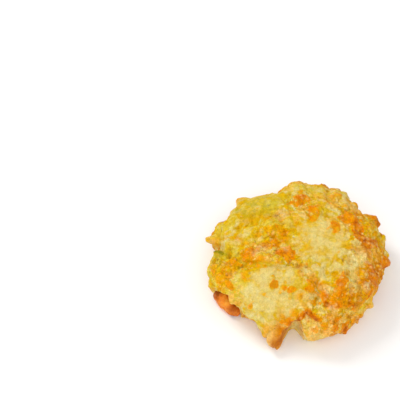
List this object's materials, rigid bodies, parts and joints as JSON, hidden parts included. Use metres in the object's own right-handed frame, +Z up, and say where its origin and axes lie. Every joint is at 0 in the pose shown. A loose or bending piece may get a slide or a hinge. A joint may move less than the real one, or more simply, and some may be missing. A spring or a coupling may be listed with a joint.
{
  "type": "cheddar biscuit",
  "caption": "Craggy drop biscuit with baked-in cheddar, a folded flap that runs to a drip in front, a pepper slice in a side cleft and a blob of browned cheddar at its foot.",
  "frame": {"origin": "on the resting plane, under the middle of the whole", "axes": "+Z up; -Y towards the front of the biscuit, where the drip is; +X to the right seen from the front"},
  "size_m": [0.0772, 0.0828, 0.0273],
  "materials": {
    "crust": "pale yellow baked crumb with melted orange cheddar patches, matt with a slight buttery sheen",
    "pepper": "cooked green pepper: dark glossy skin, paler moist flesh",
    "browned_cheddar": "cheddar baked to a dark orange-brown crust, slightly greasy"
  },
  "bodies": {
    "root": {"dough": "crust", "pepper_slice": "pepper", "cheddar_foot": "browned_cheddar"}
  },
  "joints": []
}
